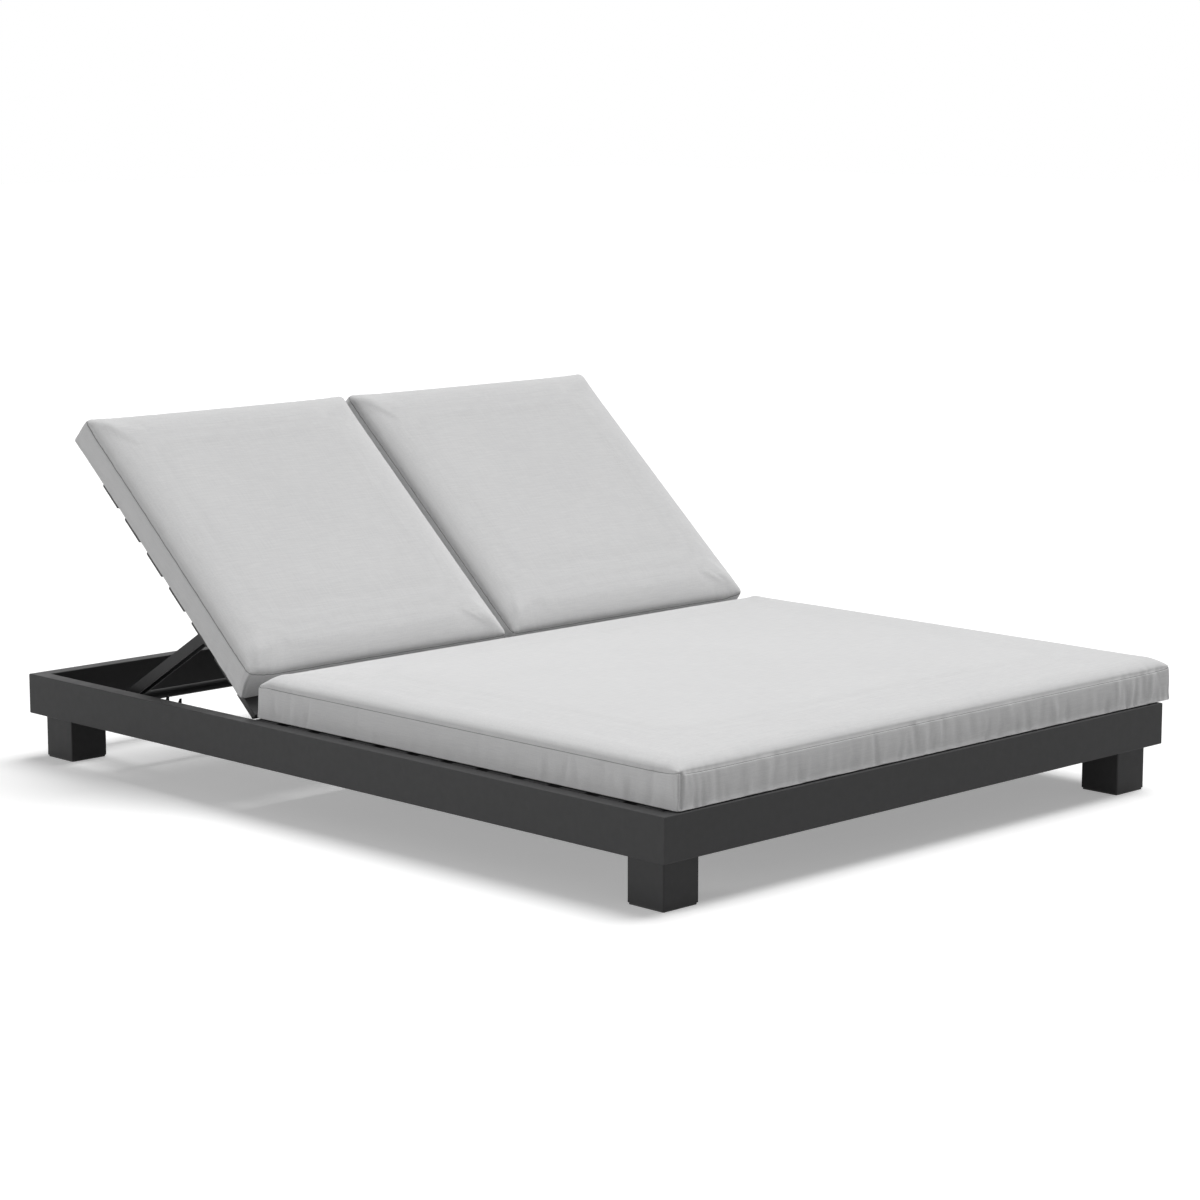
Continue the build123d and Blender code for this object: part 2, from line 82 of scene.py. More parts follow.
class Surface:
    """A material with one Principled shader, and short calls to add nodes to it."""

    def __init__(self, name, color, roughness, metallic=0.0):
        self.material = bpy.data.materials.new(name)
        self.material.use_nodes = True
        self.tree = self.material.node_tree
        self.shader = self.tree.nodes["Principled BSDF"]
        self.shader.inputs["Base Color"].default_value = (*color, 1)
        self.shader.inputs["Roughness"].default_value = roughness
        self.shader.inputs["Metallic"].default_value = metallic
        self.place = self.tree.nodes.new("ShaderNodeTexCoord").outputs["Object"]

    def node(self, kind, **values):
        made = self.tree.nodes.new(kind)
        for name, value in values.items():
            setattr(made, name, value)
        return made

    def link(self, source, target):
        self.tree.links.new(source, target)

    def stretched(self, scale):
        """The object's coordinates, stretched along its axes."""
        mapping = self.node("ShaderNodeMapping")
        mapping.inputs["Scale"].default_value = scale
        self.link(self.place, mapping.inputs["Vector"])
        return mapping.outputs["Vector"]

    def noise(self, scale, detail, stretch=(1, 1, 1)):
        made = self.node("ShaderNodeTexNoise")
        made.inputs["Scale"].default_value = scale
        made.inputs["Detail"].default_value = detail
        self.link(self.stretched(stretch), made.inputs["Vector"])
        return made.outputs["Fac"]

    def ranged(self, source, low, high):
        """The middle part of a noise, spread from low to high."""
        made = self.node("ShaderNodeMapRange")
        made.inputs["From Min"].default_value = noise_low
        made.inputs["From Max"].default_value = noise_high
        made.inputs["To Min"].default_value = low
        made.inputs["To Max"].default_value = high
        self.link(source, made.inputs["Value"])
        return made.outputs["Result"]

    def math(self, operation, first, second):
        made = self.node("ShaderNodeMath", operation=operation)
        self.link(first, made.inputs[0])
        self.link(second, made.inputs[1])
        return made.outputs["Value"]

    def colors(self, source, low, high):
        """A factor turned into a colour between two."""
        made = self.node("ShaderNodeValToRGB")
        made.color_ramp.elements[0].color = (*low, 1)
        made.color_ramp.elements[1].color = (*high, 1)
        self.link(source, made.inputs["Fac"])
        self.link(made.outputs["Color"], self.shader.inputs["Base Color"])

    def bump(self, source, strength, distance, under=None):
        made = self.node("ShaderNodeBump")
        made.inputs["Strength"].default_value = strength
        made.inputs["Distance"].default_value = distance
        self.link(source, made.inputs["Height"])
        if under:
            self.link(under, made.inputs["Normal"])
        self.link(made.outputs["Normal"], self.shader.inputs["Normal"])
        return made.outputs["Normal"]


def powder_coat():
    """Charcoal powder coating: an even colour with a very fine grain."""
    made = Surface("powder_coat", (0.05, 0.05, 0.051), 0.5)
    tint = made.ranged(made.noise(scale=60, detail=4), 0, 1)
    made.colors(tint, (0.063, 0.063, 0.064), (0.068, 0.068, 0.069))
    gloss = made.ranged(made.noise(scale=35, detail=3), low=0.46, high=0.54)
    made.link(gloss, made.shader.inputs["Roughness"])
    made.shader.inputs["Specular IOR Level"].default_value = 0.1
    grain = made.bump(made.noise(scale=1500, detail=2), strength=0.12, distance=0.0002)
    made.bump(made.noise(scale=220, detail=2), strength=0.03, distance=0.0004, under=grain)
    return made.material


def black_plastic():
    made = Surface("black_plastic", (0.018, 0.018, 0.018), 0.55)
    made.colors(made.noise(scale=300, detail=3), (0.014, 0.014, 0.014), (0.024, 0.024, 0.024))
    made.bump(made.noise(scale=2200, detail=2), strength=0.15, distance=0.0002)
    return made.material


def stainless_steel():
    made = Surface("stainless_steel", (0.5, 0.5, 0.51), 0.32, metallic=1.0)
    turned = made.noise(scale=900, detail=2, stretch=(1, 0.1, 1))
    made.link(made.ranged(turned, low=0.26, high=0.4), made.shader.inputs["Roughness"])
    made.bump(turned, strength=0.06, distance=0.0001)
    return made.material


# Threads of the cover cloth
thread_pitch = 0.0011
thread_relief = 0.0003
waves_in_pitch = 3.2
streak_stretch = 24


def cover_cloth():
    """Light grey woven acrylic: crossed thread waves, streaks along the threads and a soft sheen."""
    made = Surface("cover_cloth", (0.7, 0.7, 0.7), 0.9)
    long = streak_stretch
    across = made.noise(scale=22, detail=3, stretch=(1, long, long))
    along = made.noise(scale=22, detail=3, stretch=(long, 1, long))
    cloud = made.noise(scale=5, detail=2)
    streaks = made.math("ADD", made.ranged(across, low=0, high=0.5), made.ranged(along, low=0, high=0.38))
    shade = made.math("ADD", streaks, made.ranged(cloud, low=0, high=0.12))
    made.colors(shade, (0.655, 0.655, 0.66), (0.765, 0.765, 0.765))
    waves = []
    for direction in ("X", "Y", "Z"):
        wave = made.node("ShaderNodeTexWave", bands_direction=direction)
        wave.inputs["Scale"].default_value = 1 / thread_pitch / waves_in_pitch
        wave.inputs["Distortion"].default_value = 0.6
        made.link(made.place, wave.inputs["Vector"])
        waves.append(wave.outputs["Fac"])
    weave = made.math("MULTIPLY", made.math("MULTIPLY", waves[0], waves[1]), waves[2])
    woven = made.bump(weave, strength=0.5, distance=thread_relief)
    made.bump(made.noise(scale=70, detail=3), strength=0.18, distance=0.0012, under=woven)
    made.shader.inputs["Sheen Weight"].default_value = 0.15
    made.shader.inputs["Sheen Roughness"].default_value = 0.5
    made.shader.inputs["Specular IOR Level"].default_value = 0.2
    return made.material


def painted_shade_cloth():
    """The same cloth painted darker: painted shade for where a seam folds it."""
    made = Surface("painted_seam_shade", (0.34, 0.34, 0.345), 0.95)
    made.colors(made.noise(scale=1400, detail=2), (0.26, 0.26, 0.265), (0.42, 0.42, 0.42))
    return made.material


materials = {
    "powder_coated_aluminium": powder_coat(),
    "black_plastic": black_plastic(),
    "stainless_steel": stainless_steel(),
    "cushion_fabric": cover_cloth(),
}
# A darker copy of the cover cloth, used as painted shade along the seams
painted_seam_shade = painted_shade_cloth()


def dress_frame():
    """Each CAD node gets the finish of its material slot."""
    slots = {part["node"]: part["material_slot"] for part in frame["record"]["subparts"]}
    for name, node in frame["nodes"].items():
        node.data.materials.clear()
        node.data.materials.append(materials[slots[name]])


dress_frame()

# Cushion covers, sewn from a top panel, a band around and a bottom panel.
# Seams: a narrow valley with a roll beside it, and rows of points close to them.
seam_valley = 0.0011
seam_half = 0.0013
seam_roll = 0.0002
seam_roll_place = 0.0085
seam_roll_width = 0.0055
seam_rows = [0, 0.0013, 0.0029, 0.005]
corner_rows = [0, 0.0013, 0.0029, 0.005, 0.0074, 0.0098, 0.0124, 0.0155]
fine_step = 0.0042
fine_reach = 0.07
slim_reach = fine_reach / 3
plan_corner = 0.014
corner_lift = 0.005
corner_reach = 0.03
crease_depth = 0.0065
crease_half = 0.0048
crease_place = 0.0085
crease_far_share = 0.3
crease_end_share = 0.3
crease_power = 0.6
bulge_power = 0.8
lean_height_share = 0.75
seam_ring_share = 0.5
band_rows = 10
panel_keep = 3

# Gathers along the seams: ranges of what each one draws
pull_first = (0.006, 0.012)
pull_margin = 0.006
pull_near = 0.3
pull_depth = (0.35, 1.0)
pull_calm_share = 0.6
pull_width = (0.0042, 0.0062)
pull_reach = (0.009, 0.022)
pull_drop = (0.012, 0.05)
pull_slant = (-0.35, 0.35)
pull_close = (0.0105, 0.019)
pull_apart = (0.03, 0.11)

# Upright folds of the band
fold_first = (0.012, 0.03)
fold_margin = 0.012
fold_near = 0.4
fold_width = (0.006, 0.012)
fold_depth = (-0.7, 1)
fold_calm_share = 0.35
fold_height_shares = (0.2, 1.0)
fold_tall_shares = (0.3, 0.8)
fold_slant = (-0.2, 0.2)
fold_apart = (0.014, 0.036)

# Coarser net that the simulation moves
sim_step = 0.0056
sim_reach = 0.13
sim_wide = 0.022
sim_rows = 10
sim_frames = 20
sim_cap = 0.004
sim_settings = {
    "quality": 4,
    "mass": 0.3,
    "tension_stiffness": 25,
    "compression_stiffness": 25,
    "shear_stiffness": 8,
    "bending_stiffness": 0.6,
    "air_damping": 4,
    "use_pressure": True,
    "uniform_pressure_force": 3,
    "vertex_group_mass": "pins",
    "pin_stiffness": 4,
    "vertex_group_shrink": "seams",
    "shrink_min": 0,
    "shrink_max": 0.006,
}


def eased(share):
    """From 0 to 1 with soft ends."""
    share = np.clip(share, 0, 1)
    return share * share * (3 - 2 * share)


def side_lines(length, near, step, reach, wide):
    """Places along a side: the near ones, steps as far as reach, and wide ones in the middle."""
    ends = near + list(np.arange(near[-1] + step, reach, step))
    room = length - 2 * ends[-1]
    count = max(round(room / wide), 1)
    middle = [ends[-1] + room * row / count for row in range(1, count)]
    return np.array(ends + middle + [length - place for place in reversed(ends)])


def resampled(values, places, finer, axis):
    """Values known at places along an axis, read at finer places with smooth slopes."""
    values = np.moveaxis(values, axis, 0)
    slopes = np.gradient(values, places, axis=0)
    first = np.clip(np.searchsorted(places, finer, side="right") - 1, 0, len(places) - 2)
    shape = (-1,) + (1,) * (values.ndim - 1)
    step = (places[first + 1] - places[first]).reshape(shape)
    share = (finer - places[first]).reshape(shape) / step
    turn = share * share * (3 - 2 * share)
    leave = share * (1 - share) ** 2 * step
    arrive = share**2 * (share - 1) * step
    found = values[first] * (1 - turn) + values[first + 1] * turn
    found = found + slopes[first] * leave + slopes[first + 1] * arrive
    return np.moveaxis(found, 0, axis)


def grid_sides(grid):
    """The four sides of a grid of points in turn, each from corner to corner."""
    return [grid[:, 0], grid[-1, :], grid[::-1, -1], grid[0, ::-1]]


def outward(loop):
    """Level directions that point out of a closed loop."""
    along = np.roll(loop, -1, 0) - np.roll(loop, 1, 0)
    out = np.stack([along[:, 1], -along[:, 0], np.zeros(len(loop))], -1)
    return out / np.linalg.norm(out, axis=1)[:, None]


def loop_of(sides):
    return np.concatenate([side[..., :-1, :] for side in sides], axis=-2)


def thinned(count, border, keep):
    """Indices between two borders, about every keep-th."""
    room = count - 1 - 2 * border
    steps = max(round(room / keep), 1)
    return [border + round(room * step / steps) for step in range(steps + 1)]


def panel_faces(count_x, count_y, border_x, border_y, keep):
    """Small cells in a border along the sides, and larger ones inside it."""
    faces = []
    lines_x = thinned(count_x, border_x, keep)
    lines_y = thinned(count_y, border_y, keep)
    for i in range(count_x - 1):
        inside_x = border_x <= i < count_x - 1 - border_x
        for j in range(count_y - 1):
            if not (inside_x and border_y <= j < count_y - 1 - border_y):
                faces.append([(i, j), (i + 1, j), (i + 1, j + 1), (i, j + 1)])
    for x0, x1 in zip(lines_x, lines_x[1:]):
        for y0, y1 in zip(lines_y, lines_y[1:]):
            low = range(x0, x1) if y0 == lines_y[0] else (x0,)
            right = range(y0, y1) if x1 == lines_x[-1] else (y0,)
            high = range(x1, x0, -1) if y1 == lines_y[-1] else (x1,)
            left = range(y1, y0, -1) if x0 == lines_x[0] else (y1,)
            cell = [(i, y0) for i in low] + [(x1, j) for j in right]
            faces.append(cell + [(i, y1) for i in high] + [(x0, j) for j in left])
    return [[i * count_y + j for i, j in face] for face in faces]


class Cover:
    """A boxed cushion cover that stands on Z 0, centred on X, from Y 0 up."""

    def __init__(self, name, size, band, crown, rims, seed):
        self.name, self.size, self.band, self.crown, self.rims = name, size, band, crown, rims
        self.rng = random.Random(seed)
        self.width = size[0] - 2 * rims["bulge"]
        self.length = size[1] - 2 * rims["bulge"]

    def rise(self, x, y):
        """Height of the top panel above its seam."""
        from_side = np.minimum(x, self.width - x)
        from_end = np.minimum(y / self.rims["near_ease"], self.length - y)
        height = 0
        for share, reach, power in self.rims["rise"]:
            over_x = 1 - (1 - np.clip(from_side / reach, 0, 1)) ** 2
            over_y = 1 - (1 - np.clip(from_end / reach, 0, 1)) ** 2
            height = height + share * (over_x * over_y) ** power
        pulled = corner_lift * np.exp(-(from_side + from_end) / corner_reach)
        return self.crown * height + pulled

    def plan(self, xs, ys):
        """The outline drawn in between its rounded corners."""
        flat_x, flat_y = np.meshgrid(xs, ys, indexing="ij")
        half_x, half_y = self.width / 2, self.length / 2
        x, y = flat_x - half_x, flat_y - half_y
        share_x, share_y = x / half_x, y / half_y
        x = x - np.sign(x) * self.rims["draw_in"] * np.abs(share_x) ** 3 * (1 - share_y**4)
        y = y - np.sign(y) * self.rims["draw_in"] * np.abs(share_y) ** 3 * (1 - share_x**4)
        over_x = np.clip(np.abs(flat_x - half_x) - half_x + plan_corner, 0, plan_corner) / plan_corner
        over_y = np.clip(np.abs(flat_y - half_y) - half_y + plan_corner, 0, plan_corner) / plan_corner
        cut = plan_corner * (1 - 1 / math.sqrt(2))
        x = x - np.sign(share_x) * cut * over_x * over_y**2
        y = y - np.sign(share_y) * cut * over_y * over_x**2
        return flat_x, flat_y, x, y + self.length / 2 + self.rims["bulge"]

    def formed(self, xs, ys, shares):
        """Panels and band as grids of points."""
        flat_x, flat_y, x, y = self.plan(xs, ys)
        top = np.stack([x, y, self.band + self.rise(flat_x, flat_y)], -1)
        edge = np.minimum.reduce([flat_x, self.width - flat_x, flat_y, self.length - flat_y])
        under = self.rims["lift"] * (1 - eased(edge / self.rims["lift_reach"]))
        bottom = np.stack([x, y, under], -1)
        upper, lower = loop_of(grid_sides(top)), loop_of(grid_sides(bottom))
        out = outward(upper)
        share = np.array(shares)[:, None, None]
        swell = self.rims["bulge"] * np.sin(math.pi * np.clip(share, 0, 1)) ** bulge_power
        band = upper * (1 - share) + lower * share + out * swell
        for grid in (top, bottom, band):
            self.tuck(grid)
        return top, bottom, band

    def tuck(self, grid):
        """The near end leans in and sinks, to leave room where cushions meet, by other shares at its sides."""
        near = 1 - eased(grid[..., 1] / self.rims["lean_reach"])
        close = 1 - eased(grid[..., 1] / self.rims["sink_reach"])
        high = eased(grid[..., 2] / self.band / lean_height_share)
        left, right = self.rims["side_leans"]
        side = (left - 1) * (1 - eased((grid[..., 0] + self.width / 2) / side_reach))
        side = side + (right - 1) * (1 - eased((self.width / 2 - grid[..., 0]) / side_reach))
        grid[..., 1] += self.rims["lean"] * near * high * (1 + side)
        grid[..., 2] -= self.rims["sink"] * close * high * (1 + side)

    def moved(self, xs, ys, shares):
        """How far each point of the grids moves when the cover is blown up as cloth."""
        top, bottom, band = self.formed(xs, ys, shares)
        rows, around = len(shares), band.shape[1]
        points = np.concatenate([top.reshape(-1, 3), bottom.reshape(-1, 3), band[1:-1].reshape(-1, 3)])
        faces, rings = self.joined(len(xs), len(ys), rows, 1, (0, 0), (0, 0))
        mesh = bpy.data.meshes.new(self.name + "_sim")
        mesh.from_pydata(points, [], faces)
        cloth = bpy.data.objects.new(self.name + "_sim", mesh)
        bpy.context.scene.collection.objects.link(cloth)
        pins = cloth.vertex_groups.new(name="pins")
        count = top.shape[0] * top.shape[1]
        pins.add(list(range(count, 2 * count)), 1, "REPLACE")
        seams = cloth.vertex_groups.new(name="seams")
        seams.add([int(place) for place in rings[0]], 1, "REPLACE")
        blown = cloth.modifiers.new("blown", "CLOTH")
        for setting, value in sim_settings.items():
            setattr(blown.settings, setting, value)
        blown.settings.effector_weights.gravity = 0
        blown.collision_settings.use_collision = False
        blown.collision_settings.use_self_collision = False
        for number in range(1, sim_frames + 1):
            bpy.context.scene.frame_set(number)
        shown = cloth.evaluated_get(bpy.context.evaluated_depsgraph_get())
        found = np.empty(len(points) * 3)
        shown.data.vertices.foreach_get("co", found)
        shift = found.reshape(-1, 3) - points
        reach = np.linalg.norm(shift, axis=1)[:, None]
        shift = shift * np.tanh(reach / sim_cap) * sim_cap / np.maximum(reach, 1e-9)
        bpy.context.scene.frame_set(1)
        bpy.data.objects.remove(cloth)
        bpy.data.meshes.remove(mesh)
        top = shift[:count].reshape(top.shape)
        bottom = shift[count : 2 * count].reshape(bottom.shape)
        inner = shift[2 * count :].reshape(rows - 2, around, 3)
        upper, lower = loop_of(grid_sides(top)), loop_of(grid_sides(bottom))
        return top, bottom, np.concatenate([upper[None], inner, lower[None]])

    def joined(self, count_x, count_y, rows, keep, top_border, bottom_border):
        """Faces of both panels and the band, and the loops of points from top seam to bottom seam."""
        count = count_x * count_y
        places = np.arange(count).reshape(count_x, count_y)
        top_ring = np.concatenate([side[:-1] for side in grid_sides(places)])
        around = len(top_ring)
        rings = [list(top_ring)]
        for row in range(rows - 2):
            first = 2 * count + row * around
            rings.append(list(range(first, first + around)))
        rings.append(list(top_ring + count))
        faces = panel_faces(count_x, count_y, *top_border, keep)
        under_keep = 2 * keep if keep > 1 else 1
        under = panel_faces(count_x, count_y, *bottom_border, under_keep)
        faces += [[count + place for place in reversed(face)] for face in under]
        for upper, lower in zip(rings, rings[1:]):
            for place in range(around):
                after = (place + 1) % around
                faces.append([upper[after], upper[place], lower[place], lower[after]])
        return [[int(place) for place in face] for face in faces], rings

    def fine(self):
        xs = side_lines(self.width, corner_rows, fine_step, fine_reach, fine_step)
        ys = side_lines(self.length, corner_rows, fine_step, fine_reach, fine_step)
        near = [place / self.band for place in seam_rows]
        middle = np.linspace(near[-1], 1 - near[-1], band_rows)
        shares = near + list(middle[1:-1]) + [1 - place for place in reversed(near)]
        formed = self.formed(xs, ys, shares)
        net_x = side_lines(self.width, [0], sim_step, sim_reach, sim_wide)
        net_y = side_lines(self.length, [0], sim_step, sim_reach, sim_wide)
        net_rows = np.linspace(0, 1, sim_rows + 1)
        top, bottom, band = self.moved(net_x, net_y, net_rows)
        sides = []
        first = 0
        closed = np.concatenate([band, band[:, :1]], axis=1)
        for places, finer in ((net_x, xs), (net_y, ys), (net_x, xs), (net_y, ys)):
            part = closed[:, first : first + len(places)]
            part = resampled(part, net_rows, np.array(shares), 0)
            turned = len(sides) > 1
            measure = places[-1] - places[::-1] if turned else places
            target = places[-1] - finer[::-1] if turned else finer
            sides.append(resampled(part, measure, target, 1))
            first += len(places) - 1
        top = resampled(resampled(top, net_x, xs, 0), net_y, ys, 1)
        bottom = resampled(resampled(bottom, net_x, xs, 0), net_y, ys, 1)
        moved = (top, bottom, loop_of(sides))
        return xs, ys, shares, *(grid + shift for grid, shift in zip(formed, moved))

    def pulls(self, length):
        """Places along a seam where the thread gathers the cloth, close together near the corners."""
        found = []
        place = self.rng.uniform(*pull_first)
        while place < length - pull_margin:
            near = eased(min(place, length - place) / pull_near)
            depth = self.rng.uniform(*pull_depth) * (1 - pull_calm_share * near)
            pull = {
                "place": place,
                "width": self.rng.uniform(*pull_width) * (1 + pull_calm_share * near),
                "depth": self.rims["pucker"] * depth,
                "reach": self.rng.uniform(*pull_reach),
                "drop": self.rng.uniform(*pull_drop),
                "slant": self.rng.uniform(*pull_slant),
            }
            found.append(pull)
            place += self.rng.uniform(*pull_close) * (1 - near) + self.rng.uniform(*pull_apart) * near
        return found

    def gathered(self, pulls, along, away, reach):
        """Depth of the folds that the pulls leave at places along and away from a seam."""
        depth = np.zeros(np.broadcast(along, away).shape)
        for pull in pulls:
            shift = (along - pull["place"] - pull["slant"] * away) / pull["width"]
            depth -= pull["depth"] * np.exp(-(shift**2) - away / pull[reach])
        return depth

    def folds(self, length):
        """Soft upright folds of the band, deeper near the corners."""
        found = []
        place = self.rng.uniform(*fold_first)
        while place < length - fold_margin:
            near = eased(min(place, length - place) / fold_near)
            calm = 1 - fold_calm_share * near
            fold = {
                "place": place,
                "width": self.rng.uniform(*fold_width),
                "depth": self.rims["fold"] * self.rng.uniform(*fold_depth) * calm,
                "height": self.rng.uniform(*fold_height_shares) * self.band,
                "tall": self.rng.uniform(*fold_tall_shares) * self.band,
                "slant": self.rng.uniform(*fold_slant),
            }
            found.append(fold)
            place += self.rng.uniform(*fold_apart)
        return found

    def folded(self, folds, along, drop):
        """Depth of the band's folds at places along it and below its upper seam."""
        depth = np.zeros(np.broadcast(along, drop).shape)
        for fold in folds:
            shift = (along - fold["place"] - fold["slant"] * drop) / fold["width"]
            off = (drop - fold["height"]) / fold["tall"]
            depth -= fold["depth"] * np.exp(-(shift**2) - off**2)
        return depth

    def make(self, place):
        xs, ys, shares, top, bottom, band = self.fine()
        border_x = int(np.searchsorted(xs, fine_reach))
        border_y = int(np.searchsorted(ys, fine_reach))
        slim_x = int(np.searchsorted(xs, slim_reach))
        slim_y = int(np.searchsorted(ys, slim_reach))
        borders = (border_x, border_y), (slim_x, slim_y)
        faces, rings = self.joined(len(xs), len(ys), len(shares), panel_keep, *borders)
        points = np.concatenate([top.reshape(-1, 3), bottom.reshape(-1, 3), band[1:-1].reshape(-1, 3)])

        flat_x, flat_y = np.meshgrid(xs, ys, indexing="ij")
        pulls = [self.pulls(length) for length in (self.width, self.length) * 2]
        low_pulls = [self.pulls(length) for length in (self.width, self.length) * 2]
        folds = [self.folds(length) for length in (self.width, self.length) * 2]
        sides = [
            (flat_x, flat_y),
            (flat_y, self.width - flat_x),
            (self.width - flat_x, self.length - flat_y),
            (self.length - flat_y, flat_x),
        ]
        depth = np.zeros(flat_x.shape)
        for (along, away), side_pulls in zip(sides, pulls):
            near = away < fine_reach
            depth[near] += self.gathered(side_pulls, along[near], away[near], "reach")
        edge = np.minimum.reduce([away for along, away in sides])
        depth += self.seam_dip(edge)
        under = self.seam_dip(edge)
        drop = np.array(shares)[:, None] * self.band
        arch = np.sin(math.pi * np.clip(drop / self.band, 0, 1)) ** crease_power
        upright = crease_end_share + (1 - crease_end_share) * arch
        creases = self.rims["creases"]
        walls = []
        side_xs = (xs, ys, self.width - xs[::-1], self.length - ys[::-1])
        for number, lines in enumerate(side_xs):
            along = lines[None, :]
            wall = self.gathered(pulls[number], along, drop, "drop")
            wall += self.gathered(low_pulls[number], along, self.band - drop, "drop")
            wall += self.folded(folds[number], along, drop)
            wall += self.seam_dip(drop) + self.seam_dip(self.band - drop)
            far = crease_far_share * creases[(number + 1) % 4]
            for crease, away in ((creases[number], along), (far, lines[-1] - along)):
                line = np.exp(-(((away - crease_place) / crease_half) ** 2))
                wall -= crease * crease_depth * line * upright
            walls.append(wall[:, :-1])
        wall = np.concatenate(walls, axis=1)
        depths = np.concatenate([depth.ravel(), under.ravel(), wall[1:-1].ravel()])
        ring = np.array(rings[0])
        depths[ring] = np.minimum(depths[ring], wall[0] + seam_ring_share * depths[ring])

        mesh = bpy.data.meshes.new(self.name)
        used, places = np.unique([corner for face in faces for corner in face], return_inverse=True)
        starts = np.cumsum([0] + [len(face) for face in faces])
        faces = [places[start:stop].tolist() for start, stop in zip(starts, starts[1:])]
        mesh.from_pydata(points[used], [], faces)
        normals = np.empty(len(used) * 3)
        mesh.vertex_normals.foreach_get("vector", normals)
        shaped = points[used] + normals.reshape(-1, 3) * depths[used][:, None]
        mesh.vertices.foreach_set("co", shaped.ravel())
        mesh.update()
        mesh.materials.append(materials["cushion_fabric"])
        # Second slot: the darker cloth that paints shade into the seams
        mesh.materials.append(painted_seam_shade)
        mesh.polygons.foreach_set("use_smooth", [True] * len(mesh.polygons))
        # The band's faces come last, row by row. Its first and last rows, at the seams, take the darker cloth
        # as painted shade.
        around = len(rings[0])
        first = len(mesh.polygons) - (len(shares) - 1) * around
        for row in (0, len(shares) - 2):
            for face in range(first + row * around, first + (row + 1) * around):
                mesh.polygons[face].material_index = 1
        made = bpy.data.objects.new(self.name, mesh)
        bpy.context.scene.collection.objects.link(made)
        made.matrix_world = place
        bpy.context.view_layer.update()
        return made

    def seam_dip(self, away):
        valley = -seam_valley * np.exp(-((away / seam_half) ** 2))
        return valley + seam_roll * np.exp(-(((away - seam_roll_place) / seam_roll_width) ** 2))


def flat_box(node, hinge):
    """The box of a node of a back once the back is laid flat about its hinge."""
    lay = Matrix.Rotation(-back_angle, 4, "X") @ Matrix.Translation(-Vector(hinge["pos_m"]))
    points = np.array([lay @ vertex.co for vertex in frame["nodes"][node].data.vertices])
    return points.min(0), points.max(0)


def declare(cover, body, node):
    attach(cover, body)
    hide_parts(node)


# Rims of the covers. The near end is the one where the seat and a back meet.
# rise gives shares of the crown, each with its reach from the seam and its power.
# creases goes around the corners from X 0, Y 0 of the cover's own frame.
side_reach = 0.07
seat_rims = {
    "bulge": 0.0025,
    "draw_in": 0.003,
    "rise": [(0.85, 0.048, 0.5), (0.15, 0.25, 1)],
    "near_ease": 1.0,
    "lift": 0.002,
    "lift_reach": 0.012,
    "lean": 0.006,
    "lean_reach": 0.2,
    "sink": 0.02,
    "sink_reach": 0.042,
    "side_leans": (0.3, 0.3),
    "pucker": 0.0016,
    "fold": 0.0046,
    "creases": (0.4, 0.4, 1, 0.5),
}
back_rims = {
    "bulge": 0.0025,
    "draw_in": 0.003,
    "rise": [(0.82, 0.042, 0.5), (0.18, 0.16, 1)],
    "near_ease": 1.5,
    "lift": 0.0015,
    "lift_reach": 0.012,
    "lean": 0.006,
    "lean_reach": 0.2,
    "sink": 0,
    "sink_reach": 0.05,
    "pucker": 0.0011,
    "fold": 0.0022,
    "creases": (0.5, 0.5, 0.3, 0.3),
}
seat_band, seat_crown = 0.07, 0.03
back_band, back_crown = 0.058, 0.0285

# The covers lie a little wider than their plain solids, to the sides that the photograph shows
seat_spread = {"left": 0.005, "right": 0.019, "foot": 0.009}
back_spread = {"left": (0.004, 0), "right": (0, 0.036)}
back_stretch = 0.01
back_side_leans = {"left": (2.2, 1), "right": (1, 2.2)}

# Seeds of the gathers and folds
cover_seeds = {"seat": 3, "left": 5, "right": 8}


def seat():
    low, high = (Vector(corner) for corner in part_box("seat_cushion"))
    left, right = low.x - seat_spread["left"], high.x + seat_spread["right"]
    foot = low.y - seat_spread["foot"]
    size = (right - left, high.y - foot)
    cover = Cover("seat_cover", size, seat_band, seat_crown, seat_rims, cover_seeds["seat"])
    turned = Matrix.Rotation(math.pi, 4, "Z")
    made = cover.make(Matrix.Translation(((left + right) / 2, high.y, low.z)) @ turned)
    declare(made, "base", "seat_cushion")


def back(side):
    body = "back_" + side
    hinge = hinges[body]
    low, high = flat_box(body + "_cushion", hinge)
    left, right = low[0] - back_spread[side][0], high[0] + back_spread[side][1]
    size = (right - left, high[1] + back_stretch - low[1])
    rims = {**back_rims, "side_leans": back_side_leans[side]}
    cover = Cover(body + "_cover", size, back_band, back_crown, rims, cover_seeds[side])
    raised = Matrix.Translation(hinge["pos_m"]) @ Matrix.Rotation(back_angle, 4, "X")
    made = cover.make(raised @ Matrix.Translation(((left + right) / 2, low[1], low[2])))
    declare(made, body, body + "_cushion")


seat()
back("left")
back("right")

# Floor, light and camera
floor_side = 60
floor_for_light = 0.5
floor_glow = 0.32
floor_color = 0.86
world_strength = 0.15


def seen_directly(tree):
    """1 where the camera, a reflection or a clear material sees it, and 0 where it lights another surface."""
    path = tree.nodes.new("ShaderNodeLightPath")
    seen = path.outputs["Is Camera Ray"]
    for kind in ("Is Glossy Ray", "Is Transmission Ray"):
        either = tree.nodes.new("ShaderNodeMath")
        either.operation = "MAXIMUM"
        tree.links.new(seen, either.inputs[0])
        tree.links.new(path.outputs[kind], either.inputs[1])
        seen = either.outputs["Value"]
    return seen


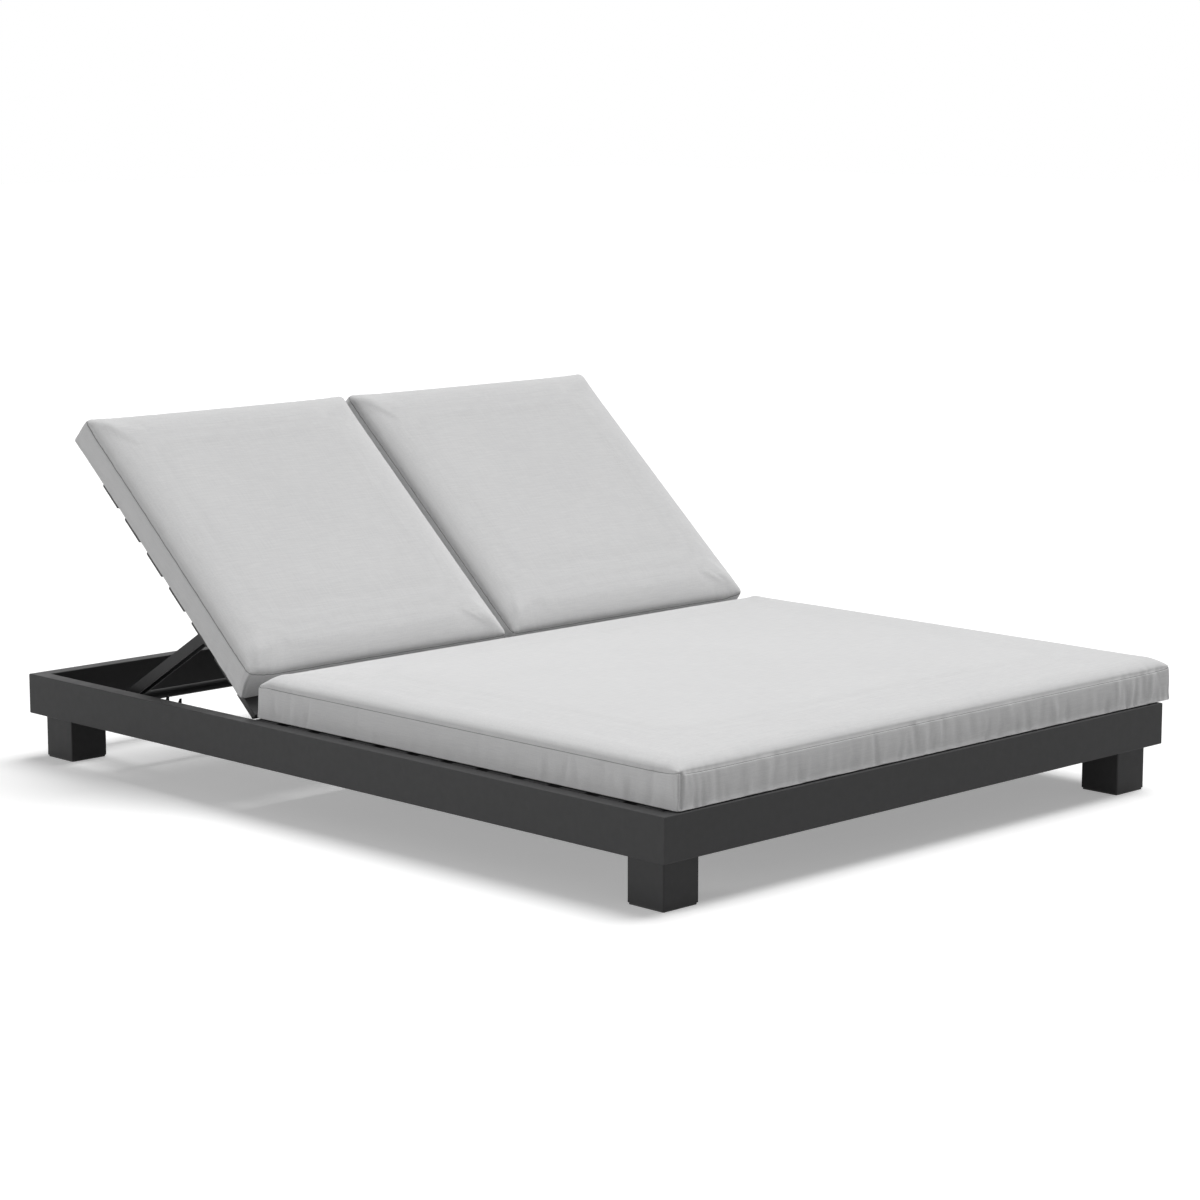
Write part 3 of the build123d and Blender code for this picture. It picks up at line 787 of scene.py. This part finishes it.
def floor():
    mesh = bpy.data.meshes.new("floor")
    half = floor_side / 2
    corners = [(-half, -half, 0), (half, -half, 0), (half, half, 0), (-half, half, 0)]
    mesh.from_pydata(corners, [], [(0, 1, 2, 3)])
    made = bpy.data.objects.new("floor", mesh)
    bpy.context.scene.collection.objects.link(made)
    material = bpy.data.materials.new("floor")
    material.use_nodes = True
    tree = material.node_tree
    tree.nodes.clear()
    plain = tree.nodes.new("ShaderNodeBsdfDiffuse")
    plain.inputs["Color"].default_value = (floor_for_light,) * 3 + (1,)
    bright = tree.nodes.new("ShaderNodeBsdfDiffuse")
    bright.inputs["Color"].default_value = (floor_color,) * 3 + (1,)
    glow = tree.nodes.new("ShaderNodeEmission")
    glow.inputs["Color"].default_value = (1, 1, 1, 1)
    glow.inputs["Strength"].default_value = floor_glow
    both = tree.nodes.new("ShaderNodeAddShader")
    tree.links.new(bright.outputs[0], both.inputs[0])
    tree.links.new(glow.outputs[0], both.inputs[1])
    mix = tree.nodes.new("ShaderNodeMixShader")
    tree.links.new(seen_directly(tree), mix.inputs["Fac"])
    tree.links.new(plain.outputs[0], mix.inputs[1])
    tree.links.new(both.outputs[0], mix.inputs[2])
    output = tree.nodes.new("ShaderNodeOutputMaterial")
    tree.links.new(mix.outputs[0], output.inputs["Surface"])
    mesh.materials.append(material)


def world():
    made = bpy.data.worlds.new("studio")
    bpy.context.scene.world = made
    made.use_nodes = True
    tree = made.node_tree
    sky = tree.nodes["Background"]
    sky.inputs["Color"].default_value = (1, 1, 1, 1)
    level = tree.nodes.new("ShaderNodeMapRange")
    level.inputs["To Min"].default_value = world_strength
    level.inputs["To Max"].default_value = 1
    tree.links.new(seen_directly(tree), level.inputs["Value"])
    tree.links.new(level.outputs["Result"], sky.inputs["Strength"])


def sun(name, direction, strength, spread):
    """A distant lamp that shines along a direction, its disc spread degrees wide."""
    light = bpy.data.lights.new(name, "SUN")
    light.energy = strength
    light.angle = math.radians(spread)
    made = bpy.data.objects.new(name, light)
    bpy.context.scene.collection.objects.link(made)
    made.rotation_euler = Vector(direction).to_track_quat("-Z", "Y").to_euler()


def camera():
    data = bpy.data.cameras.new("camera")
    data.lens = camera_lens
    data.sensor_width = camera_sensor
    made = bpy.data.objects.new("camera", data)
    bpy.context.scene.collection.objects.link(made)
    made.location = camera_place
    made.rotation_euler = (math.radians(90 - camera_pitch), 0, -math.radians(camera_yaw))
    bpy.context.scene.camera = made


floor()
world()
sun("overhead", direction=(-0.4, 0.04, -1), strength=2.7, spread=40)
sun("left", direction=(1, -0.5, -0.1), strength=1.15, spread=30)
sun("foot", direction=(-0.5, 1, -0.1), strength=0.12, spread=30)
camera()
bpy.context.scene.view_settings.view_transform = "Standard"
